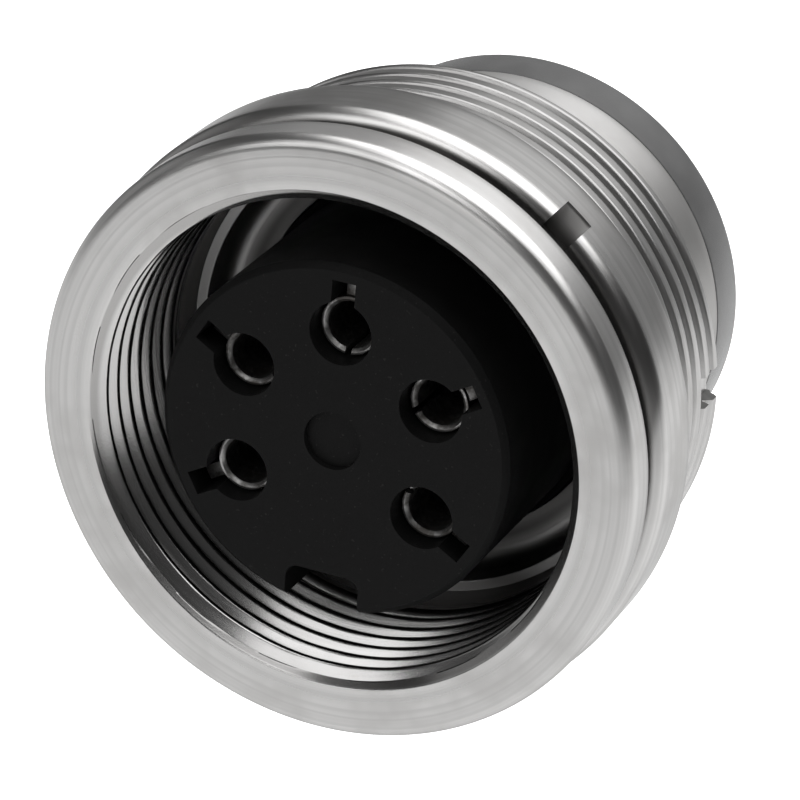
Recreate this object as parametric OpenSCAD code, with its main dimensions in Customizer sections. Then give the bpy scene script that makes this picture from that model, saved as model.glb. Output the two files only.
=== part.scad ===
// Panel-mount circular connector, female, with an internal coupling thread at the mouth.
// A turned metal shell holds a moulded socket insert, a moulded rear retainer and a ring of
// rolled socket contacts. The fine threads are left plain: the bores and bodies here have the
// size of the thread crests.
//
// Frame: the origin is on the connector's axis, in the rear face of the collar that seats on
// the panel. +Y points to the wiring side, -Y to the mating side, +Z up, with the key at -Z.
// Lengths are in millimetres.

/* [Coupling mouth] */
// Diameter inside the coupling thread's crests
coupling_d = 15.2; // [14.4:0.1:15.6]
// Chamfer at the mouth of the coupling thread
mouth_chamfer = 0.4; // [0.2:0.05:0.6]
// Diameter of the narrower bore between the coupling bore and the socket's floor
step_d = 14.5; // [14.2:0.1:14.8]
// Length of that narrower bore, up to the socket's floor
step_l = 1.15; // [0.9:0.05:1.8]
// Radius in the corner of the socket's floor
floor_round = 0.6; // [0.3:0.05:0.8]

/* [Flange and collar] */
// Diameter of the front flange
flange_d = 19.3; // [18.8:0.1:22]
// Thickness of the front flange
flange_l = 1.4; // [1:0.1:3]
// Radius on the flange's front edge
flange_round = 0.45; // [0.15:0.05:0.6]
// Diameter at the floor of the groove behind the flange
groove_d = 17.4; // [17:0.1:18]
// Width of the groove behind the flange
groove_w = 0.75; // [0.5:0.05:1.5]
// Diameter of the collar that seats on the panel
collar_d = 19.6; // [19:0.1:22]
// Length of the collar
collar_l = 2.3; // [1.8:0.1:4]
// Radius on the collar's front edge
collar_round = 0.35; // [0.1:0.05:0.45]
// Broken edge on the flange's back, the collar's back and the barrel
edge_break = 0.12; // [0.05:0.01:0.2]
// Width of the tool notch in the collar's front edge
notch_w = 1; // [0.8:0.05:2]
// Length of the tool notch along the axis
notch_l = 1.1; // [0.6:0.05:1.6]
// Clock angle of the tool notch, from +X towards +Z
notch_angle = 52; // [0:1:359]

/* [Panel thread] */
// Diameter over the panel thread's crests
thread_d = 18; // [17.6:0.1:18.6]
// Length of the panel thread
thread_l = 5; // [4:0.1:9]
// Chamfer at the panel thread's rear end
thread_chamfer = 0.4; // [0.2:0.05:0.6]
// Width of the locating slot in the thread's rear end
end_slot_w = 1; // [0.8:0.05:2]
// Length of the locating slot along the axis
end_slot_l = 1.8; // [1:0.1:2.4]
// Depth of the locating slot
end_slot_depth = 0.5; // [0.3:0.05:0.7]
// Clock angle of the locating slot, from +X towards +Z
end_slot_angle = 5; // [0:1:359]

/* [Web and rear barrel] */
// Length from the socket's floor to the thread's rear end
web_t = 1.6; // [1.4:0.1:2.2]
// Thickness of the ledge that the insert seats against
ledge_t = 0.8; // [0.6:0.1:1.2]
// Outer diameter of the rear barrel
barrel_d = 14.7; // [14.5:0.1:16]
// Length of the rear barrel behind the thread
barrel_l = 4.25; // [3.75:0.05:7]
// Wall of the rear barrel
barrel_wall = 0.95; // [0.85:0.05:1.05]

/* [Socket insert] */
// Diameter of the boss that enters the plug
boss_d = 11.3; // [11.1:0.1:11.6]
// Depth of the boss's face behind the mouth
face_recess = 0.3; // [0:0.05:2]
// Chamfer round the boss's face
boss_chamfer = 0.2; // [0.05:0.05:0.35]
// Step from the boss out to the land that centres the insert in the shell
pilot_step = 0.2; // [0.05:0.05:0.3]
// Length of that land in front of the ledge
pilot_lead = 0.4; // [0.1:0.05:0.8]
// Length of the insert's body behind the ledge
insert_body_l = 2.8; // [2.2:0.1:3.2]
// Width of the keyway in the boss
key_w = 2.4; // [1.6:0.1:3]
// Distance from the axis to the keyway's floor
key_floor_r = 4.4; // [3.6:0.05:4.8]
// Corner radius in the keyway's floor
key_corner_r = 0.4; // [0.2:0.05:0.7]
// Diameter of the moulding dimple in the middle of the face
dimple_d = 1.85; // [1:0.05:2.4]
// Depth of the moulding dimple
dimple_depth = 0.2; // [0.1:0.05:0.5]
// Width of the lug that stops the insert turning
lug_w = 1.4; // [1:0.1:2.4]
// Height of that lug over the insert's body
lug_h = 0.4; // [0.25:0.05:0.45]

/* [Contacts] */
// Diameter of the circle that the contacts stand on
contact_circle_d = 7; // [6.8:0.1:7.2]
// Angle from one contact to the next
contact_step = 60; // [54:1:64]
// Diameter of the plug pin's hole in each contact
pin_hole_d = 1.5; // [1.3:0.05:1.6]
// Wall of each contact's socket
socket_wall = 0.2; // [0.15:0.01:0.25]
// Depth of each contact's socket
socket_depth = 6; // [4:0.1:7]
// Depth of the contacts behind the boss's face
contact_recess = 0.7; // [0.1:0.05:1]
// Width of the split along each socket
split_w = 0.2; // [0.1:0.02:0.3]
// Length of the split along each socket
split_l = 4.6; // [3:0.1:5.4]
// Diameter of the contact's retaining shoulder
shoulder_d = 2.5; // [2.3:0.05:2.7]
// Length of the contact's retaining shoulder
shoulder_l = 1; // [0.6:0.1:1.4]
// Thickness of the contact's locating blade
blade_t = 0.45; // [0.3:0.05:0.55]
// Depth of the blade's front end behind the socket's front end
blade_setback = 0.1; // [0.05:0.05:1]
// Distance from the axis to the end of the blade's slot
slot_reach = 5.15; // [5:0.05:5.3]
// Diameter of the contact's tail
tail_d = 1.7; // [1.5:0.05:1.8]
// Length of the tail behind the retainer
tail_l = 3.3; // [2.8:0.1:6]
// Diameter of the solder cup's hole
cup_hole_d = 1.2; // [1:0.05:1.3]
// Depth of the solder cup's hole
cup_depth = 2.6; // [1.8:0.1:2.8]
// Length over which the solder cup is cut open
cup_cut_l = 1.9; // [1:0.1:2.2]

/* [Contact retainer] */
// Diameter of the retainer's rear flange
cap_d = 14.7; // [14:0.1:15]
// Thickness of the retainer's rear flange
cap_t = 2; // [1.2:0.05:4]
// Radius on the rear flange's back edge
cap_round = 0.35; // [0.1:0.05:0.6]
// Width of the snap bead round the retainer
bead_w = 0.8; // [0.5:0.05:1]
// Height of the snap bead
bead_h = 0.15; // [0.08:0.01:0.2]

/* [Fits] */
// Radial clearance of the moulded pieces, the contacts and the snap bead
slip = 0.05; // [0.02:0.01:0.1]
// Clearance on each side of the blade in its slot
blade_slip = 0.15; // [0.1:0.01:0.2]
// Play along the axis between the insert and the retainer
axial_play = 0.05; // [0.02:0.01:0.1]

/* [Hidden] */
CONTACT_COUNT = 5;
$fn = 96;

// How far a cutting shape runs past the surface that it cuts
over = 0.5;
// Steps along each rounded edge
ROUND_STEPS = 6;

// Stations along the axis, from the panel seat at 0 towards the wiring side
collar_front = -collar_l;
flange_back = collar_front - groove_w;
rim = flange_back - flange_l;
face = rim + face_recess;
socket_floor = thread_l - web_t;
floor_corner = socket_floor - floor_round;
step_front = socket_floor - step_l;
boss_end = socket_floor - pilot_lead;
ledge_back = socket_floor + ledge_t;
insert_back = ledge_back + insert_body_l;
retainer_front = insert_back + axial_play;
barrel_end = thread_l + barrel_l;
cap_back = barrel_end + cap_t;
contact_front = face + contact_recess;
shoulder_front = insert_back - shoulder_l;
contact_back = cap_back + tail_l;

// Radii
coupling_r = coupling_d / 2;
step_r = step_d / 2;
flange_r = flange_d / 2;
collar_r = collar_d / 2;
thread_r = thread_d / 2;
barrel_r = barrel_d / 2;
barrel_bore_r = barrel_r - barrel_wall;
boss_r = boss_d / 2;
pilot_r = boss_r + pilot_step;
body_r = barrel_bore_r - slip;
bead_r = body_r + bead_h;
contact_circle_r = contact_circle_d / 2;
socket_r = pin_hole_d / 2 + socket_wall;
shoulder_r = shoulder_d / 2;
tail_r = tail_d / 2;
cap_r = cap_d / 2;

// Middle of the snap bead, halfway along the retainer's spigot
bead_mid = (retainer_front + barrel_end) / 2;
// The contacts run clockwise, seen from the mating side, and lie evenly about the top
first_contact_angle = 90 + contact_step * (CONTACT_COUNT - 1) / 2;

SHELL_COLOUR = [0.74, 0.74, 0.73];
INSERT_COLOUR = [0.07, 0.07, 0.075];
RETAINER_COLOUR = [0.1, 0.1, 0.105];
CONTACT_COLOUR = [0.8, 0.79, 0.76];

// Points of a rounded edge in a section, turning about its centre from one angle to another
function rounded_edge(centre, radius, from, to) = [
    for (k = [0 : ROUND_STEPS])
        let (turn = from + (to - from) * k / ROUND_STEPS)
            centre + radius * [cos(turn), sin(turn)]
];

// Lays pieces drawn with their axis on Z along the connector's axis, front end at -Y
module along_axis() {
    rotate([-90, 0, 0])
        children();
}

// Turns a piece drawn on the X axis to a clock angle about the connector's axis
module at_clock(angle) {
    rotate([0, 0, -angle])
        children();
}

// Bar along the axis, centred on the X axis and running out from radius inner_r
module radial_bar(inner_r, outer_r, width, front, back) {
    translate([inner_r, -width / 2, front])
        cube([outer_r - inner_r, width, back - front]);
}

// Places a child at each contact's place, with X pointing away from the connector's axis
module at_contact(i) {
    at_clock(first_contact_angle - contact_step * (i - 1))
        translate([contact_circle_r, 0, 0])
            children();
}

// Outline of the snap bead, grown by a clearance to give its groove
module bead_section(grow) {
    polygon([
        [body_r - over, bead_mid - bead_w / 2 - grow],
        [body_r, bead_mid - bead_w / 2 - grow],
        [bead_r + grow, bead_mid - bead_w / 4 - grow],
        [bead_r + grow, bead_mid + bead_w / 4 + grow],
        [body_r, bead_mid + bead_w / 2 + grow],
        [body_r - over, bead_mid + bead_w / 2 + grow]
    ]);
}

// Half section of the turned shell, with its mouth, flange, groove, collar, thread and barrel
module shell_section() {
    difference() {
        polygon([
            [coupling_r + mouth_chamfer, rim],
            each rounded_edge([flange_r - flange_round, rim + flange_round], flange_round, -90, 0),
            [flange_r, flange_back - edge_break],
            [flange_r - edge_break, flange_back],
            [groove_d / 2, flange_back],
            [groove_d / 2, collar_front],
            each rounded_edge([collar_r - collar_round, collar_front + collar_round], collar_round, -90, 0),
            [collar_r, -edge_break],
            [collar_r - edge_break, 0],
            [thread_r, 0],
            [thread_r, thread_l - thread_chamfer],
            [thread_r - thread_chamfer, thread_l],
            [barrel_r, thread_l],
            [barrel_r, barrel_end - edge_break],
            [barrel_r - edge_break, barrel_end],
            [barrel_bore_r, barrel_end],
            [barrel_bore_r, ledge_back],
            [pilot_r + slip, ledge_back],
            [pilot_r + slip, socket_floor],
            each rounded_edge([step_r - floor_round, floor_corner], floor_round, 90, 0),
            [step_r, step_front],
            [coupling_r, step_front],
            [coupling_r, rim + mouth_chamfer]
        ]);
        bead_section(slip);
    }
}

module shell() {
    color(SHELL_COLOUR)
        along_axis()
            difference() {
                rotate_extrude()
                    shell_section();
                at_clock(notch_angle)
                    radial_bar(groove_d / 2, collar_r + over, notch_w,
                               collar_front - over, collar_front + notch_l);
                at_clock(end_slot_angle)
                    radial_bar(thread_r - end_slot_depth, thread_r + over, end_slot_w,
                               thread_l - end_slot_l, thread_l + over);
                at_clock(90)
                    radial_bar(barrel_bore_r - over, body_r + lug_h + slip, lug_w + 2 * slip,
                               ledge_back, barrel_end + over);
            }
}

// Half section of the moulded insert: boss, pilot land in the ledge's hole, body behind it
module insert_section() {
    polygon([
        [0, face],
        [boss_r - boss_chamfer, face],
        [boss_r, face + boss_chamfer],
        [boss_r, boss_end],
        [pilot_r, boss_end],
        [pilot_r, ledge_back],
        [body_r, ledge_back],
        [body_r, insert_back],
        [0, insert_back]
    ]);
}

// Outline of the keyway across the axis, open at the boss's edge
module keyway_outline() {
    round_x = key_floor_r + key_corner_r;
    round_y = key_w / 2 - key_corner_r;
    translate([round_x, -key_w / 2])
        square([boss_r + over - round_x, key_w]);
    translate([key_floor_r, -round_y])
        square([2 * key_corner_r, 2 * round_y]);
    for (side = [-1, 1])
        translate([round_x, side * round_y])
            circle(r = key_corner_r);
}

// Stepped hole for one contact, with the slot for its blade
module contact_cavity() {
    translate([0, 0, face - over])
        cylinder(r = socket_r + slip, h = insert_back - face + 2 * over);
    translate([0, 0, shoulder_front])
        cylinder(r = shoulder_r + slip, h = shoulder_l + over);
    radial_bar(0, slot_reach - contact_circle_r, blade_t + 2 * blade_slip,
               face - over, insert_back + over);
}

module socket_insert() {
    color(INSERT_COLOUR)
        along_axis()
            difference() {
                union() {
                    rotate_extrude()
                        insert_section();
                    at_clock(90)
                        radial_bar(body_r - over, body_r + lug_h, lug_w,
                                   ledge_back, insert_back);
                }
                for (i = [1 : CONTACT_COUNT])
                    at_contact(i)
                        contact_cavity();
                at_clock(-90)
                    translate([0, 0, face - over])
                        linear_extrude(boss_end - face + over)
                            keyway_outline();
                translate([0, 0, face - over])
                    cylinder(d = dimple_d, h = dimple_depth + over);
            }
}

// Half section of the retainer: a spigot in the barrel, its snap bead and the rear flange
module retainer_section() {
    polygon([
        [0, retainer_front],
        [body_r, retainer_front],
        [body_r, barrel_end],
        [cap_r, barrel_end],
        each rounded_edge([cap_r - cap_round, cap_back - cap_round], cap_round, 0, 90),
        [0, cap_back]
    ]);
    bead_section(0);
}

module contact_retainer() {
    color(RETAINER_COLOUR)
        along_axis()
            difference() {
                union() {
                    rotate_extrude()
                        retainer_section();
                    at_clock(90)
                        radial_bar(body_r - over, body_r + lug_h, lug_w,
                                   retainer_front, barrel_end);
                }
                for (i = [1 : CONTACT_COUNT])
                    at_contact(i)
                        translate([0, 0, retainer_front - over])
                            cylinder(r = tail_r + slip, h = cap_back - retainer_front + 2 * over);
            }
}

// Half section of one contact: split socket, retaining shoulder, tail and solder cup
module contact_section() {
    lead = socket_wall / 2;
    pin_r = pin_hole_d / 2;
    polygon([
        [pin_r + lead, contact_front],
        [socket_r, contact_front],
        [socket_r, shoulder_front],
        [shoulder_r, shoulder_front],
        [shoulder_r, insert_back],
        [tail_r, insert_back],
        [tail_r, contact_back],
        [cup_hole_d / 2, contact_back],
        [cup_hole_d / 2, contact_back - cup_depth],
        [0, contact_back - cup_depth],
        [0, contact_front + socket_depth],
        [pin_r, contact_front + socket_depth],
        [pin_r, contact_front + lead]
    ]);
}

module contact(i) {
    color(CONTACT_COLOUR)
        along_axis()
            at_contact(i)
                difference() {
                    union() {
                        rotate_extrude()
                            contact_section();
                        radial_bar(socket_r - socket_wall / 2,
                                   slot_reach - contact_circle_r - blade_slip, blade_t,
                                   contact_front + blade_setback, shoulder_front);
                    }
                    radial_bar(-socket_r - over, 0, split_w,
                               contact_front - over, contact_front + split_l);
                    radial_bar(0, tail_r + over, tail_d + over,
                               contact_back - cup_cut_l, contact_back + over);
                }
}

shell();
socket_insert();
contact_retainer();
for (i = [1 : CONTACT_COUNT])
    contact(i);
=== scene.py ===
import math

import bmesh
import bpy
from mathutils import Matrix, Vector


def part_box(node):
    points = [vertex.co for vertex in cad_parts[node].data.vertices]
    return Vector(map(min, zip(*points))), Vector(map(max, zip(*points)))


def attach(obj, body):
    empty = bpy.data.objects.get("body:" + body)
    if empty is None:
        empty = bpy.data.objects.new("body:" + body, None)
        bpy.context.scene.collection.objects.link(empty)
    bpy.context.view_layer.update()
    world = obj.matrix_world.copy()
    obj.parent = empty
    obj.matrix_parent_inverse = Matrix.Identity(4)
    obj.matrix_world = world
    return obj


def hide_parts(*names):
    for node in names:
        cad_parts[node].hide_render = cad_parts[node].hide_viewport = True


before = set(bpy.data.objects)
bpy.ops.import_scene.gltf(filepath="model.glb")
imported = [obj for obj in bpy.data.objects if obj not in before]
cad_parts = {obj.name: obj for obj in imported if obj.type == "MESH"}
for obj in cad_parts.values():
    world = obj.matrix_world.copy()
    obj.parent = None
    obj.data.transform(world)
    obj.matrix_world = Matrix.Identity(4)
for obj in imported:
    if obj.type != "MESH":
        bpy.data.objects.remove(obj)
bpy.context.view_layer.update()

# Shell: the metal body, turned from brass bar and nickel plated, with a flange, a groove and a
# collar in front, a panel thread behind, and the coupling thread cut inside its mouth.
# A tool notch is milled in the collar, and a locating slot in the thread's rear end.
MM = 0.001
shell_low, shell_high = (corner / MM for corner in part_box("shell"))
rim, barrel_end = shell_low.y, shell_high.y
collar_r, collar_l, collar_round = shell_high.x, 2.3, 0.5
groove_r, groove_w = 8.7, 0.75
flange_r, flange_round = 9.65, 0.45
flange_back = -collar_l - groove_w
panel_r, panel_l, panel_chamfer = 9.0, 5.0, 0.4
barrel_r, barrel_bore_r = 7.35, 6.4
coupling_r, coupling_end, mouth_chamfer = 7.6, 0.85, 0.4
step_r, step_front, floor_round = 7.25, 2.25, 0.6
ledge_r, ledge_front, ledge_back = 5.9, 3.4, 4.2
edge_r = 0.1
top_clock = 90
notch_clock, notch_w, notch_l, notch_ahead = 52, 1.0, 1.1, 0.4
notch_back = notch_l - collar_l
slot_clock, slot_w, slot_l, slot_depth = 5, 1.0, 1.8, 0.5
lug_way_w, lug_way_r = 1.5, 6.8
thread_pitch, thread_inset, thread_past = 0.75, 0.02, 0.01
panel_depth, panel_flat, panel_lead_in, panel_start_rad = 0.3, 0.5, 0.5, -2.76
coupling_flat, coupling_run_out, coupling_start_rad = 0.2, 0.6, math.radians(100)
flank_end = 0.92
flat_spacing, ring_spacing = 0.4, thread_pitch / 18
shell_steps, shell_sharp_deg = 224, 70

# A hair is the margin for comparing sizes, and a cutting tool overruns what it cuts.
hair, overrun = 0.001, 0.5


class Socket:
    """A socket in a node tree, or the tree alone. Arithmetic on it adds Math nodes, node() any other."""

    def __init__(self, tree, socket=None):
        self.tree, self.socket = tree, socket

    def node(self, kind, settings=None, sockets=None, out=0):
        """A new node with its settings and sockets set. Returns one of its outputs."""
        made = self.tree.nodes.new(kind)
        for name, value in (settings or {}).items():
            setattr(made, name, value)
        for name, value in (sockets or {}).items():
            named = [s for s in made.inputs if s.enabled and s.name == name]
            target = made.inputs[name] if isinstance(name, int) else named[0]
            if isinstance(value, Socket):
                self.tree.links.new(value.socket, target)
            else:
                target.default_value = value
        shown = [s for s in made.outputs if s.enabled]
        return Socket(self.tree, shown[out] if shown else None)

    def math(self, operation, *values):
        return self.node("ShaderNodeMath", {"operation": operation}, dict(enumerate(values)))

    def __add__(self, other):
        return self.math("ADD", self, other)

    def __sub__(self, other):
        return self.math("SUBTRACT", self, other)

    def __rsub__(self, other):
        return self.math("SUBTRACT", other, self)

    def __mul__(self, other):
        return self.math("MULTIPLY", self, other)

    def __truediv__(self, other):
        return self.math("DIVIDE", self, other)

    def __pow__(self, other):
        return self.math("POWER", self, other)

    __radd__, __rmul__ = __add__, __mul__

    def ramp(self, low, high, kind="LINEAR"):
        """0 at low and before it, 1 at high and past it, and a ramp between them."""
        return self.node("ShaderNodeMapRange", {"interpolation_type": kind},
                         {"Value": self, "From Min": low, "From Max": high})

    def smooth(self, low, high):
        """A ramp that eases in and out."""
        return self.ramp(low, high, "SMOOTHSTEP")

    def band(self, low, full, fading, gone):
        """1 from full to fading, 0 up to low and from gone on, and smooth between them."""
        return self.smooth(low, full) * (1 - self.smooth(fading, gone))

    def parts(self):
        """The x, y and z of a vector."""
        apart = self.node("ShaderNodeSeparateXYZ", None, {0: self}).socket.node
        return [Socket(self.tree, s) for s in apart.outputs]

    def noise(self, scale, detail=2.0, roughness=0.5):
        """Noise over a place, or along a line where self is one number."""
        line = self.socket.type == "VALUE"
        return self.node("ShaderNodeTexNoise", {"noise_dimensions": "1D" if line else "3D"},
                         {"W" if line else "Vector": self, "Scale": scale,
                          "Detail": detail, "Roughness": roughness})

    def mixed(self, first, second):
        """The first colour where self is 0, the second where it is 1."""
        return self.node("ShaderNodeMix", {"data_type": "RGBA"},
                         {"Factor": self, "A": first, "B": second})


def grey(level, warmth=0.0):
    """A near-neutral colour of that brightness."""
    return (level * (1 + warmth), level, level * (1 - warmth), 1.0)


def new_finish(name):
    """A material with no shader yet, its node tree, and the place on the piece in millimetres."""
    material = bpy.data.materials.new(name)
    material.use_nodes = True
    material.node_tree.nodes.clear()
    tree = Socket(material.node_tree)
    metres = tree.node("ShaderNodeTexCoord", out=3)
    place = tree.node("ShaderNodeVectorMath", {"operation": "SCALE"}, {0: metres, "Scale": 1 / MM})
    return material, tree, place


def show(tree, height, bump_mm, **sockets):
    """Joins a Principled shader with a bumped surface to the material's output."""
    bump = tree.node("ShaderNodeBump", None,
                     {"Strength": 1.0, "Distance": bump_mm * MM, "Height": height})
    looks = {name.replace("_", " "): value for name, value in sockets.items()}
    shader = tree.node("ShaderNodeBsdfPrincipled", None, {"Normal": bump, **looks})
    tree.node("ShaderNodeOutputMaterial", None, {"Surface": shader})


def rounded(corners, arc_step=0.05):
    """A closed section through (radius, station, round) corners, each an arc unless its round is 0."""
    section = []
    for before, here, after in zip(corners[-1:] + corners[:-1], corners, corners[1:] + corners[:1]):
        corner = Vector(here[:2])
        if not here[2]:
            section.append(corner)
            continue
        back = (Vector(before[:2]) - corner).normalized()
        on = (Vector(after[:2]) - corner).normalized()
        half = back.angle(on) / 2
        centre = corner + (back + on).normalized() * here[2] / math.sin(half)
        start = corner + back * here[2] / math.tan(half) - centre
        end = corner + on * here[2] / math.tan(half) - centre
        arc_steps = max(3, round(here[2] / arc_step))
        turns = (start.slerp(end, k / arc_steps).normalized() for k in range(arc_steps + 1))
        section += [centre + turn * here[2] for turn in turns]
    return section


def refined(section, spacing, low, high):
    """The section with points no further apart than spacing between two (radius, station) corners."""
    fine = []
    for here, after in zip(section, section[1:] + section[:1]):
        fine.append(here)
        if all(low[k] - hair <= point[k] <= high[k] + hair for point in (here, after) for k in (0, 1)):
            count = math.ceil((after - here).length / spacing)
            fine += [here.lerp(after, k / count) for k in range(1, count)]
    return fine


def as_piece(name, work):
    """A new object from a bmesh, with its faces turned outwards."""
    bmesh.ops.recalc_face_normals(work, faces=work.faces)
    mesh = bpy.data.meshes.new(name)
    work.to_mesh(mesh)
    work.free()
    piece = bpy.data.objects.new(name, mesh)
    bpy.context.scene.collection.objects.link(piece)
    return piece


def turned(name, section, steps, hollow):
    """A section turned round the Y axis: a ring if it is hollow, and otherwise capped at both ends."""
    work = bmesh.new()
    turns = [2 * math.pi * k / steps for k in range(steps)]
    rings = [[work.verts.new((radius * math.cos(a), station, radius * math.sin(a))) for a in turns]
             for radius, station in section]
    for near, far in zip(rings, rings[1:] + rings[:1] if hollow else rings[1:]):
        for k in range(steps):
            work.faces.new((near[k], near[k - 1], far[k - 1], far[k]))
    if not hollow:
        work.faces.new(rings[0])
        work.faces.new(rings[-1])
    return as_piece(name, work)


def prism(name, outline, front, back, clock=0.0):
    """An outline across the axis, drawn out along it and turned to a clock angle from +X towards +Z."""
    work = bmesh.new()
    turn = Matrix.Rotation(-math.radians(clock), 4, "Y")
    near, far = ([work.verts.new(turn @ Vector((x, station, z))) for x, z in outline]
                 for station in (front, back))
    for k in range(len(near)):
        work.faces.new((near[k], near[k - 1], far[k - 1], far[k]))
    work.faces.new(near)
    work.faces.new(far)
    return as_piece(name, work)


def bar(name, inner, outer, width, front, back, clock=0.0):
    """A straight bar that runs out from one radius to another."""
    half = width / 2
    outline = ((inner, -half), (outer, -half), (outer, half), (inner, half))
    return prism(name, outline, front, back, clock)


def settle(piece):
    """Turns a piece and its modifiers into a plain mesh."""
    seen = piece.evaluated_get(bpy.context.evaluated_depsgraph_get())
    shape = bpy.data.meshes.new_from_object(seen)
    piece.modifiers.clear()
    piece.data = shape


def cut(piece, *tools, operation="DIFFERENCE"):
    """Cuts tools out of a piece, or joins them to it, and takes the tools away."""
    for tool in tools:
        change = piece.modifiers.new("cut", "BOOLEAN")
        change.object, change.operation, change.solver = tool, operation, "EXACT"
        settle(piece)
        bpy.data.objects.remove(tool)


def grow(piece, tree, **values):
    """Runs a geometry tree on a piece, with its named inputs set."""
    run = piece.modifiers.new("grow", "NODES")
    run.node_group = tree
    for socket in tree.interface.items_tree:
        label = socket.name.replace(" ", "_").lower()
        if socket.in_out == "INPUT" and label in values:
            run[socket.identifier] = values[label]
    settle(piece)


def new_rule(name, **inputs):
    """A geometry tree with named inputs. Returns the tree, and its inputs as sockets."""
    tree = bpy.data.node_groups.new(name, "GeometryNodeTree")
    tree.interface.new_socket("Geometry", in_out="INPUT", socket_type="NodeSocketGeometry")
    tree.interface.new_socket("Geometry", in_out="OUTPUT", socket_type="NodeSocketGeometry")
    for label, kind in inputs.items():
        tree.interface.new_socket(label.replace("_", " ").title(), in_out="INPUT",
                                  socket_type="NodeSocket" + kind)
    start = tree.nodes.new("NodeGroupInput")
    return tree, [Socket(tree, s) for s in start.outputs if s.type != "CUSTOM"]


def end_rule(geometry, finish):
    """Ends a geometry tree in plain, finished geometry."""
    real = geometry.node("GeometryNodeRealizeInstances", None, {"Geometry": geometry})
    dressed = real.node("GeometryNodeSetMaterial", None, {"Geometry": real, "Material": finish})
    dressed.node("NodeGroupOutput", None, {"Geometry": dressed})


def complete(piece, finish, sharp_deg=38):
    """Brings a piece from millimetres to metres, lets flat faces look flat and gives it its finish."""
    piece.data.transform(Matrix.Scale(MM, 4))
    piece.data.shade_smooth()
    piece.data.set_sharp_from_angle(angle=math.radians(sharp_deg))
    flat = piece.modifiers.new("flat", "WEIGHTED_NORMAL")
    flat.keep_sharp = True
    settle(piece)
    piece.data.materials.clear()
    piece.data.materials.append(finish)


nickel, tree, place = new_finish("nickel_plate")
x, y, z = place.parts()
radius = (x * x + z * z) ** 0.5
turning = (y + radius).noise(scale=16.0, detail=3.0, roughness=0.6)
streaks = (y + radius).noise(scale=4.0, detail=2.0).ramp(0.35, 0.65)
patches = place.noise(scale=0.35, detail=3.0, roughness=0.6)
grain = place.noise(scale=22.0, detail=2.0)
stain = patches.smooth(0.42, 0.72)

# The shell's faces: each mask is 1 on its face and fades out at its edges.
outside = radius.smooth(coupling_r + mouth_chamfer + 0.2, groove_r - 0.2)
on_flange = outside * y.band(rim + 0.1, rim + 0.3, flange_back - 0.1, flange_back)
on_brow = (radius.smooth(flange_r - 0.7, flange_r - 0.3) * (1 - y.smooth(rim + 0.1, rim + 0.3))
           * z.smooth(7.2, 8.6) * x.smooth(0.5, 2.5))
on_corner = (radius.smooth(collar_r - 0.4, collar_r - 0.2)
             * y.band(-collar_l - 0.2, -collar_l, 0.3 - collar_l, 0.4 - collar_l))
on_thread = outside * y.band(-0.1, 0.0, panel_l - 0.1, panel_l)
on_barrel = y.smooth(panel_l - 0.05, panel_l + 0.05)
chamfer_back = rim + mouth_chamfer
on_chamfer = (1 - outside) * y.band(rim + 0.02, rim + 0.08, chamfer_back - 0.1, chamfer_back)
behind_coupling = (1 - outside) * y.smooth(coupling_end - 0.2, coupling_end + 0.8)
notch = (outside * y.band(0.4 - collar_l, 0.5 - collar_l, notch_back + 0.3, notch_back + 0.4)
         * (1 - radius.smooth(collar_r - 0.15, collar_r - 0.05)))
notch_wall = notch * radius.smooth(groove_r, groove_r + 0.7)
notch_floor = notch - notch_wall

# Painted shade: the colour is darkened in the groove away from its top, in the upper roots of the thread
# and on the notch's floor.
right_side = x.ramp(2.7, 6.7) * z.smooth(1.0, 4.0)
far_right_side = x.ramp(6.9, 8.4) * z.smooth(1.0, 4.0)
left_side = x.ramp(-1.0, -3.0)
past_groove = (y - far_right_side * 0.15).smooth(0.2 - collar_l, 0.5 - collar_l)
in_groove = outside * y.smooth(flange_back, flange_back + 0.1) * (1 - past_groove)
off_top = (x - 0.7) * (x - 0.7)
shade_reach = radius - right_side * 0.3 - far_right_side * 0.2 - left_side * 0.15
above_shade = shade_reach.smooth(groove_r + 0.62, groove_r + 0.85)
groove_shade = in_groove * off_top.smooth(0.3, 7.0) * (1 - above_shade)
root_shade = on_thread * z.smooth(2.0, 7.0) * (1 - radius.smooth(panel_r - 0.15, panel_r - 0.02))
painted_shade = groove_shade * 0.85 + root_shade * 0.55 + notch_floor * 0.7

# Painted highlights: the colour is brighter on the upper flange and its brow, on the top of the collar's
# corner and of the barrel, and on the notch's walls.
clean = streaks.mixed(grey(0.45, 0.01), grey(0.39, 0.01))
# The mouth's chamfer is a darker grey: painted shade.
plain = on_chamfer.mixed(stain.mixed(clean, grey(0.36, 0.015)), grey(0.30, 0.015))
# Painted shade: behind the coupling thread, inside the shell and on the barrel, the colour is a darker
# grey, darkest on the floor next to the insert.
painted_deep_shade = radius.smooth(ledge_r + 0.4, step_r - 0.5).mixed(grey(0.12, 0.02), grey(0.36, 0.015))
plain_or_deep_shade = behind_coupling.mixed(plain, painted_deep_shade)
painted_highlight = stain.mixed(grey(0.72, 0.01), grey(0.64, 0.015))
flange_highlight = on_flange * z.smooth(4.5, 8.2) * x.smooth(-5.0, -1.5) + on_brow * 0.8
top_highlight = (on_barrel + on_corner * x.smooth(-2.0, 2.5)) * z.smooth(3.0, 8.0)
plating_and_painted_light = (flange_highlight + top_highlight + notch_wall).mixed(plain_or_deep_shade, painted_highlight)
wear = turning * 0.08 + patches * 0.06 + outside * 0.08
# Where the painted shade is full, the colour is a dark grey.
show(tree, turning * 0.7 + grain * 0.3, 0.004,
     Base_Color=painted_shade.mixed(plating_and_painted_light, grey(0.14, 0.02)), Metallic=1.0,
     Roughness=wear + behind_coupling * 0.2 + notch_wall * 0.4 + 0.15,
     Specular_Tint=grey(0.5))

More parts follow.
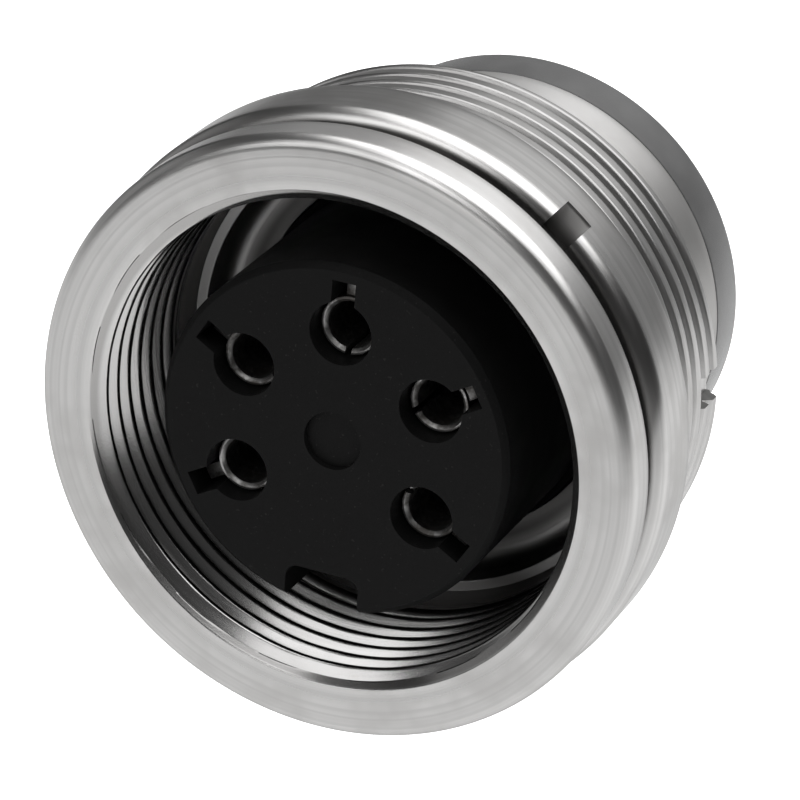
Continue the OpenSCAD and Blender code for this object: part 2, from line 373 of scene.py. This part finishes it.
# The thread rule moves a turned blank's points between a crest and a root radius, along a helix.
# The crest's flat and the flank's end are shares of half the pitch.
thread_rule, (blank, crest, root, pitch, flat, start, end, lead_in, run_out, clock, finish) = new_rule(
    "thread", crest="Float", root="Float", pitch="Float", flat="Float", start="Float", end="Float",
    lead_in="Float", run_out="Float", clock="Float", finish="Material")
where = blank.node("GeometryNodeInputPosition")
x, y, z = where.parts()
radius = (x * x + z * z) ** 0.5
turn = (y - start) / pitch - (y.math("ARCTAN2", z, x) - clock) / (2 * math.pi)
off_crest = y.math("ABSOLUTE", 2 * turn.math("FRACT", turn) - 1)
share = off_crest.ramp(flat, flank_end) * y.smooth(start - hair, start + lead_in)
share = share * (1 - y.smooth(end - run_out, end + hair))
side = y.math("SIGN", root - crest)
new_radius = side * y.math("MAXIMUM", side * radius, side * (crest + (root - crest) * share))
grown = new_radius / radius
in_thread = y.math("GREATER_THAN", y, start) * y.math("LESS_THAN", y, end)
there = where.node("ShaderNodeCombineXYZ", None, {0: x * grown, 1: y, 2: z * grown})
threaded = blank.node("GeometryNodeSetPosition", None,
                      {"Geometry": blank, "Selection": in_thread, "Position": there})
end_rule(threaded, finish)

shell_section = rounded([
    (coupling_r + mouth_chamfer, rim, 0.04), (flange_r, rim, flange_round),
    (flange_r, flange_back, edge_r), (groove_r, flange_back, edge_r), (groove_r, -collar_l, edge_r),
    (collar_r, -collar_l, collar_round), (collar_r, 0.0, edge_r),
    (panel_r, 0.0, 0.0), (panel_r, panel_l - panel_chamfer, 0.0),
    (panel_r - panel_chamfer, panel_l, 0.03), (barrel_r, panel_l, 0.06),
    (barrel_r, barrel_end, edge_r), (barrel_bore_r, barrel_end, 0.05),
    (barrel_bore_r, ledge_back, 0.0), (ledge_r, ledge_back, 0.0),
    (ledge_r, ledge_front, 0.05), (step_r, ledge_front, floor_round),
    (step_r, step_front, 0.06), (coupling_r, step_front, 0.03),
    (coupling_r, rim + mouth_chamfer, 0.0)])
shell_section = refined(shell_section, flat_spacing, (0, rim), (collar_r, barrel_end))
shell_section = refined(shell_section, ring_spacing, (panel_r - panel_chamfer, 0), (panel_r, panel_l))
shell_section = refined(shell_section, ring_spacing, (coupling_r, rim),
                        (coupling_r + mouth_chamfer, coupling_end + flat_spacing))
shell = turned("shell", shell_section, shell_steps, hollow=True)
grow(shell, thread_rule, crest=panel_r, root=panel_r - panel_depth, pitch=thread_pitch, flat=panel_flat,
     start=thread_inset, end=panel_l + thread_past, lead_in=panel_lead_in, run_out=hair,
     clock=panel_start_rad, finish=nickel)
grow(shell, thread_rule, crest=coupling_r, root=coupling_r + mouth_chamfer, pitch=thread_pitch,
     flat=coupling_flat, start=rim + thread_inset, end=coupling_end + thread_past, lead_in=hair,
     run_out=coupling_run_out, clock=coupling_start_rad, finish=nickel)
cut(shell,
    bar("notch", groove_r, collar_r + overrun, notch_w, -collar_l - notch_ahead, notch_back, notch_clock),
    bar("slot", panel_r - slot_depth, panel_r + overrun, slot_w, panel_l - slot_l, panel_l + overrun,
        slot_clock),
    bar("lug_way", barrel_bore_r - overrun, lug_way_r, lug_way_w, ledge_back, barrel_end + overrun,
        top_clock))
complete(shell, nickel, shell_sharp_deg)
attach(shell, "root")
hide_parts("shell")

# Socket insert: the black boss in the mouth, moulded in glass-filled plastic, with a keyway in
# its edge, five keyhole openings and a gate dimple in the middle of its face.
# It is pushed in from behind until its body seats on the shell's ledge.
insert_low, insert_high = (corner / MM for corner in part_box("socket_insert"))
face, insert_back = insert_low.y, insert_high.y
boss_r, pilot_r, body_r = 5.65, 5.85, 6.35
boss_chamfer, boss_end = 0.2, 3.0
lug_w, lug_rise = 1.4, 0.4
contact_circle_r, contact_step, contact_count = 3.5, 60, 5
hole_r, slot_reach, blade_slot_w = 1.0, 5.15, 0.75
shoulder_hole_r, shoulder_l = 1.3, 1.0
shoulder_front = insert_back - shoulder_l
key_clock, key_floor_r, key_w, key_corner_r = -90, 4.4, 2.4, 0.4
dimple_r, dimple_depth = 0.925, 0.2
insert_edge_r = 0.05
body_steps, hole_steps = 160, 48

insert_black, tree, place = new_finish("insert_black")
grain = place.noise(scale=26.0, detail=3.0, roughness=0.6)
flow = place.noise(scale=1.1, detail=3.0, roughness=0.55)
specks = place.noise(scale=9.0, detail=1.0).smooth(0.70, 0.78)
show(tree, grain, 0.006,
     Base_Color=specks.mixed(grey(0.0055), grey(0.014, 0.03)), Metallic=0.0,
     Roughness=flow * 0.2 + grain * 0.1 + 0.34, Specular_IOR_Level=0.06)

# The ring rule sets copies of a contact, or of its hole, round the axis.
ring_rule, (item, count, first, step, finish) = new_rule(
    "ring_of_contacts", count="Int", first="Float", step="Float", finish="Material")
spots = item.node("GeometryNodePoints", None, {"Count": count})
turned_by = step * item.node("GeometryNodeInputIndex") - first
facing = item.node("ShaderNodeCombineXYZ", None, {1: turned_by})
ring = item.node("GeometryNodeInstanceOnPoints", None,
                 {"Points": spots, "Instance": item, "Rotation": facing})
end_rule(ring, finish)
ring_values = {"count": contact_count, "step": math.radians(contact_step),
               "first": math.radians(top_clock + contact_step * (contact_count - 1) / 2)}


def off_axis(piece):
    """Moves a piece from the connector's axis out to the contact circle's radius."""
    piece.data.transform(Matrix.Translation((contact_circle_r, 0, 0)))
    return piece


def turned_solid(name, corners, steps):
    """A solid of (radius, station) corners turned round the Y axis."""
    return turned(name, [Vector(corner) for corner in corners], steps, hollow=False)


def round_edges(piece, width, steps=2, edge_deg=40):
    """Breaks a piece's sharp edges with a small round."""
    edges = piece.modifiers.new("edges", "BEVEL")
    edges.width, edges.segments, edges.limit_method = width, steps, "ANGLE"
    edges.angle_limit, edges.use_clamp_overlap = math.radians(edge_deg), True
    settle(piece)


insert = turned_solid("socket_insert", (
    (boss_r - boss_chamfer, face), (boss_r, face + boss_chamfer), (boss_r, boss_end),
    (pilot_r, boss_end), (pilot_r, ledge_back), (body_r, ledge_back), (body_r, insert_back)), body_steps)
lug = bar("lug", body_r - overrun, body_r + lug_rise, lug_w, ledge_back, insert_back, top_clock)
cut(insert, lug, operation="UNION")
hole = off_axis(turned_solid("hole", (
    (hole_r, face - overrun), (hole_r, shoulder_front),
    (shoulder_hole_r, shoulder_front), (shoulder_hole_r, insert_back + overrun)), hole_steps))
blade_slot = bar("blade_slot", contact_circle_r, slot_reach, blade_slot_w,
                 face - overrun, insert_back + overrun)
cut(hole, blade_slot, operation="UNION")
grow(hole, ring_rule, finish=insert_black, **ring_values)
dimple = turned_solid("dimple", ((dimple_r, face - overrun), (dimple_r, face + dimple_depth)), hole_steps)
key_outline = rounded([
    (key_floor_r, -key_w / 2, key_corner_r), (boss_r + overrun, -key_w / 2, 0.0),
    (boss_r + overrun, key_w / 2, 0.0), (key_floor_r, key_w / 2, key_corner_r)])
keyway = prism("keyway", key_outline, face - overrun, boss_end, key_clock)
cut(insert, hole, dimple, keyway)
round_edges(insert, insert_edge_r)
complete(insert, insert_black)
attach(insert, "root")
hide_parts("socket_insert")

# Contacts: five sockets, turned and slit from copper alloy and silver plated, with a locating
# blade on the side and a solder cup at the back. Each goes into the insert from behind, and its
# shoulder is held between the insert and the retainer.
contact_low, contact_high = (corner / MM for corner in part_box("contact_1"))
contact_front, contact_back = contact_low.y, contact_high.y
pin_r, socket_r, shoulder_r, tail_r, cup_r = 0.75, 0.95, 1.25, 0.85, 0.6
socket_depth, cup_depth, cup_cut_l = 6.0, 2.6, 1.9
pin_lead_in, nose_w, nose_l, tail_chamfer = 0.1, 0.03, 0.05, 0.05
split_w, split_l = 0.2, 4.6
blade_t, blade_root_r, blade_setback, blade_end = 0.45, pin_r + 0.1, 0.1, 5.0
contact_edge_r = 0.025
shade_fade_start, shade_fade_end = 7.0, 11.0

silver, tree, place = new_finish("silver_plate")
y = place.parts()[1]
drawn = y.noise(scale=30.0, detail=3.0, roughness=0.6)
tarnish = place.noise(scale=1.6, detail=4.0, roughness=0.6).smooth(0.40, 0.62)
shaded_front_plate = tarnish.mixed(grey(0.34, 0.012), grey(0.08, 0.06))
back_plate = tarnish.mixed(grey(0.75, 0.012), grey(0.45, 0.06))
# Painted shade: the contacts' fronts, deep in the insert's holes, are a darker grey than their tails.
show(tree, drawn, 0.003,
     Base_Color=y.smooth(shade_fade_start, shade_fade_end).mixed(shaded_front_plate, back_plate),
     Metallic=1.0, Roughness=tarnish * 0.2 + drawn * 0.08 + 0.30)

contacts = off_axis(turned_solid("contacts", (
    (pin_r, contact_front + socket_depth), (pin_r, contact_front + pin_lead_in),
    (pin_r + pin_lead_in, contact_front), (socket_r - nose_w, contact_front),
    (socket_r, contact_front + nose_l), (socket_r, shoulder_front),
    (shoulder_r, shoulder_front), (shoulder_r, insert_back), (tail_r, insert_back),
    (tail_r, contact_back - tail_chamfer), (tail_r - tail_chamfer, contact_back),
    (cup_r, contact_back), (cup_r, contact_back - cup_depth)), hole_steps))
blade = bar("blade", contact_circle_r + blade_root_r, blade_end, blade_t,
            contact_front + blade_setback, shoulder_front)
split = bar("split", contact_circle_r - socket_r - overrun, contact_circle_r, split_w,
            contact_front - overrun, contact_front + split_l)
cup_cut = bar("cup_cut", contact_circle_r, contact_circle_r + tail_r + overrun, 2 * tail_r + overrun,
              contact_back - cup_cut_l, contact_back + overrun)
cut(contacts, blade, operation="UNION")
cut(contacts, split, cup_cut)
round_edges(contacts, contact_edge_r)
grow(contacts, ring_rule, finish=silver, **ring_values)
complete(contacts, silver)
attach(contacts, "root")
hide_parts(*("contact_%d" % (k + 1) for k in range(contact_count)))

# Contact retainer: the black moulded plug that closes the barrel. A bead on its spigot snaps
# into the barrel, its flange covers the barrel's end, and the contacts' tails come out of it.
retainer_low, retainer_high = (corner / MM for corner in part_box("contact_retainer"))
retainer_front, cap_back = retainer_low.y, retainer_high.y
cap_r, cap_round, cap_edge_r, spigot_round = retainer_high.x, 0.35, 0.05, 0.1
bead_mid, bead_w, bead_h, bead_round = (retainer_front + barrel_end) / 2, 0.8, 0.15, 0.1
tail_hole_r = tail_r + 0.05

retainer_black, tree, place = new_finish("retainer_black")
grain = place.noise(scale=18.0, detail=4.0, roughness=0.65)
flow = place.noise(scale=0.8, detail=3.0, roughness=0.55)
show(tree, grain, 0.010,
     Base_Color=flow.smooth(0.35, 0.7).mixed(grey(0.082), grey(0.102)), Metallic=0.0,
     Roughness=flow * 0.15 + grain * 0.12 + 0.24)

# The section's two points on the axis only close it, and the turned solid is capped without them.
retainer_section = rounded([
    (0.0, retainer_front, 0.0), (body_r, retainer_front, spigot_round),
    (body_r, bead_mid - bead_w / 2, 0.0), (body_r + bead_h, bead_mid, bead_round),
    (body_r, bead_mid + bead_w / 2, 0.0), (body_r, barrel_end, 0.0),
    (cap_r, barrel_end, cap_edge_r), (cap_r, cap_back, cap_round), (0.0, cap_back, 0.0)])
retainer = turned_solid("contact_retainer", retainer_section[1:-1], body_steps)
tail_hole = off_axis(turned_solid("tail_hole", (
    (tail_hole_r, retainer_front - overrun), (tail_hole_r, cap_back + overrun)), hole_steps))
grow(tail_hole, ring_rule, finish=retainer_black, **ring_values)
key = bar("key", body_r - overrun, body_r + lug_rise, lug_w, retainer_front, barrel_end, top_clock)
cut(retainer, key, operation="UNION")
cut(retainer, tail_hole)
complete(retainer, retainer_black)
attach(retainer, "root")
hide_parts("contact_retainer")

# Studio: a pale floor well below the connector, soft lights, and a camera that looks into the
# mouth from the front, a little above it and to its right, with a long lens.
floor_drop, floor_w, floor_front, floor_back = 0.06, 1.4, -0.3, 0.9
glow_front_mm, glow_back_mm = -120, 160
# The floor glows on its own, dim at the front and full behind: painted light and painted shade on the
# floor, which the metal reflects.
floor_white, tree, place = new_finish("floor_white")
y = place.parts()[1]
paper = place.noise(scale=0.2, detail=3.0)
show(tree, paper, 0.01, Base_Color=paper.mixed(grey(0.90), grey(0.92)), Roughness=0.8,
     Emission_Color=y.smooth(glow_front_mm, glow_back_mm).mixed(grey(0.29), grey(1.0)),
     Emission_Strength=0.92)
work = bmesh.new()
bmesh.ops.create_grid(work, x_segments=1, y_segments=1, size=0.5)
bmesh.ops.scale(work, vec=(floor_w, floor_back - floor_front, 1), verts=work.verts)
bmesh.ops.translate(work, vec=(0, (floor_front + floor_back) / 2, -floor_drop), verts=work.verts)
floor = as_piece("floor", work)
floor.data.materials.append(floor_white)


def soft_light(name, towards, distance, width, height, watts):
    """A soft box that faces the connector from a direction."""
    light = bpy.data.lights.new(name, "AREA")
    light.shape, light.size, light.size_y, light.energy = "RECTANGLE", width, height, watts
    lamp = bpy.data.objects.new(name, light)
    lamp.location = Vector(towards).normalized() * distance
    lamp.rotation_euler = Vector(towards).to_track_quat("Z", "Y").to_euler()
    bpy.context.scene.collection.objects.link(lamp)


soft_light("top_light", (0.22, 0.04, 0.97), distance=0.5, width=0.76, height=0.78, watts=3.9)
soft_light("left_light", (-0.33, -0.83, 0.45), distance=0.5, width=0.35, height=0.32, watts=0.74)
soft_light("back_light", (0.10, 0.81, 0.57), distance=0.5, width=0.34, height=0.30, watts=0.25)
soft_light("back_wall", (0.0, 0.93, 0.36), distance=0.6, width=1.0, height=0.5, watts=0.52)
soft_light("side_light", (-0.98, 0.05, 0.20), distance=0.5, width=0.5, height=0.3, watts=0.17)

# The metal reflects a dim room, and the camera sees a pale wall.
world = bpy.data.worlds.new("studio")
world.use_nodes = True
world.node_tree.nodes.clear()
room = Socket(world.node_tree)
seen_straight = room.node("ShaderNodeLightPath")
dim = room.node("ShaderNodeBackground", None, {"Color": grey(0.06)})
pale = room.node("ShaderNodeBackground", None, {"Color": grey(1.0)})
wall = room.node("ShaderNodeMixShader", None, {0: seen_straight, 1: dim, 2: pale})
room.node("ShaderNodeOutputWorld", None, {"Surface": wall})
bpy.context.scene.world = world
bpy.context.scene.view_settings.view_transform = "Standard"

# The camera is set by its tilt off the axis, its clock angle round it, the slope at which the axis
# runs up the picture, and the place of the rim's centre as the camera sees it.
view_tilt, view_clock, axis_slope = math.radians(32.48), math.radians(51.6), math.radians(42.1)
rim_ahead, rim_right, rim_up = 0.13358, -0.002136, -0.001332
focal_px, picture_px, sensor_w, nearest_seen = 4500, 800, 36.0, 0.01
axis = Vector((0, 1, 0))
back = Vector((math.cos(view_clock) * math.sin(view_tilt), -math.cos(view_tilt),
               math.sin(view_clock) * math.sin(view_tilt)))
along = (axis - axis.dot(back) * back).normalized()
across = back.cross(along)
right = along * math.cos(axis_slope) - across * math.sin(axis_slope)
up = along * math.sin(axis_slope) + across * math.cos(axis_slope)
eye = Vector((0, rim * MM, 0)) + back * rim_ahead - right * rim_right - up * rim_up
lens = bpy.data.cameras.new("camera")
lens.sensor_width, lens.lens, lens.clip_start = sensor_w, sensor_w * focal_px / picture_px, nearest_seen
camera = bpy.data.objects.new("camera", lens)
camera.matrix_world = Matrix.Translation(eye) @ Matrix((right, up, back)).transposed().to_4x4()
bpy.context.scene.collection.objects.link(camera)
bpy.context.scene.camera = camera
